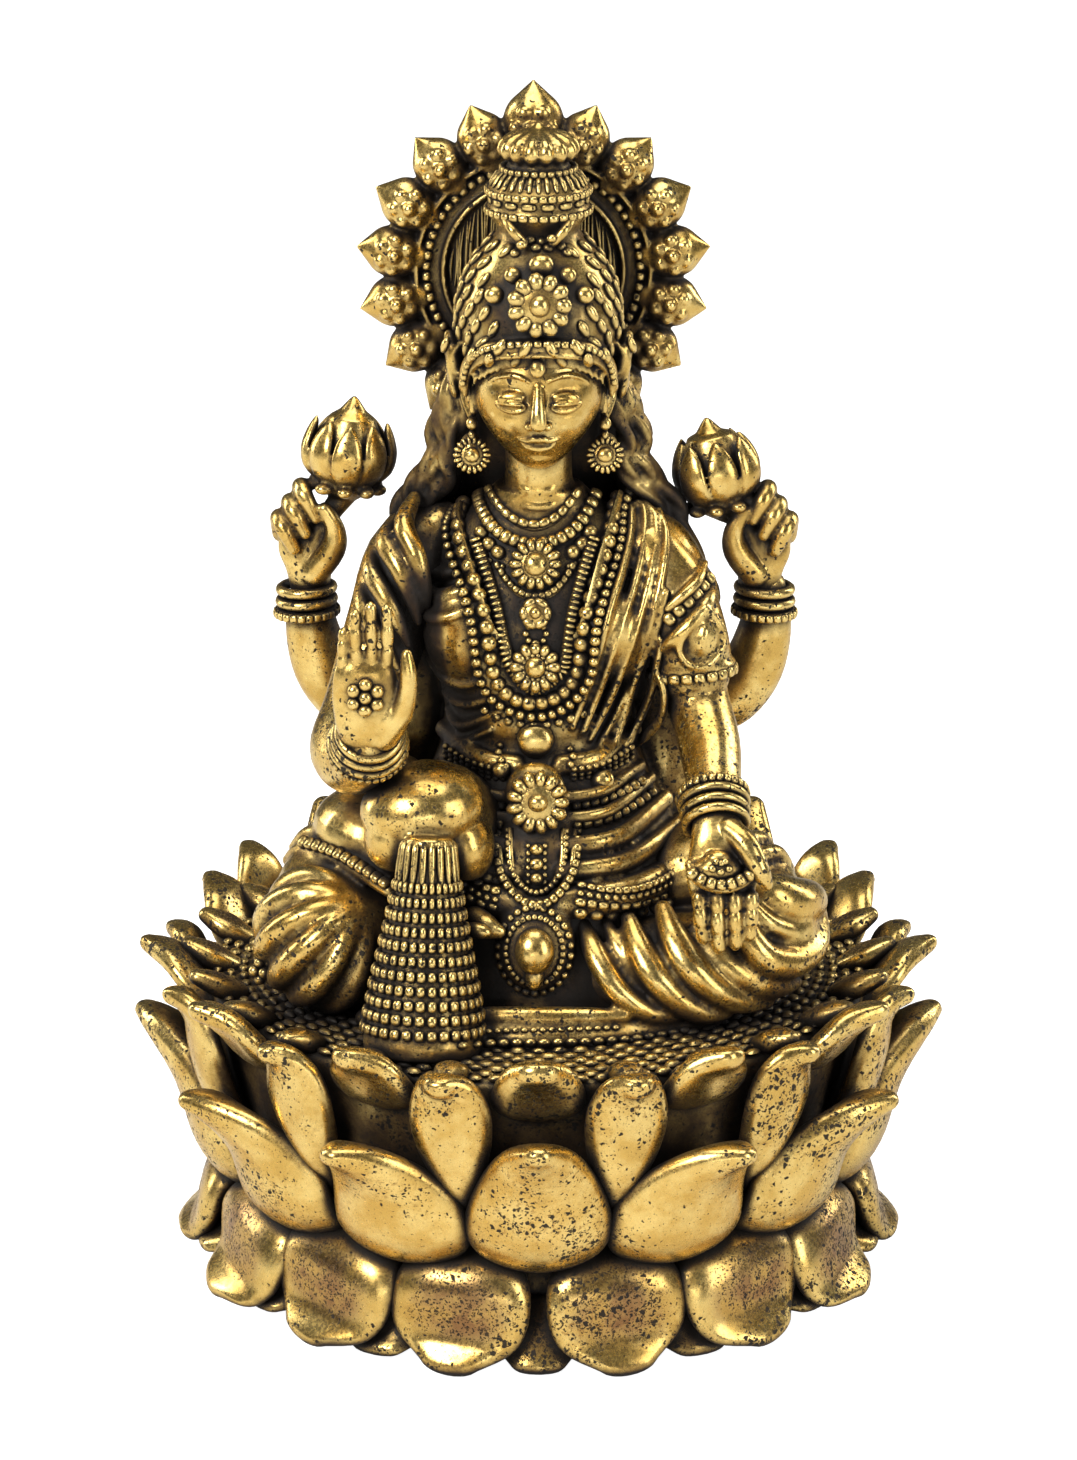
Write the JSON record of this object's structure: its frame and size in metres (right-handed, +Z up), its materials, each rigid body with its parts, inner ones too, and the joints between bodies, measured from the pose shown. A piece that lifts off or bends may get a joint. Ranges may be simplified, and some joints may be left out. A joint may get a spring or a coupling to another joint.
{
  "type": "lakshmi figure",
  "caption": "Small cast brass figure of a four-armed goddess seated on a double lotus, with a halo of lotus buds behind the head.",
  "frame": {"origin": "middle of the underside of the lotus, in the plane it stands on", "axes": "+Z up, +X to the viewer's right, and the figure faces -Y"},
  "size_m": [0.0808, 0.0832, 0.1202],
  "materials": {
    "antique_brass": "rubbed gold on the high spots, black-brown patina in the hollows, fine casting pits"
  },
  "bodies": {
    "root": {"lakshmi_figure": "antique_brass"}
  },
  "joints": []
}
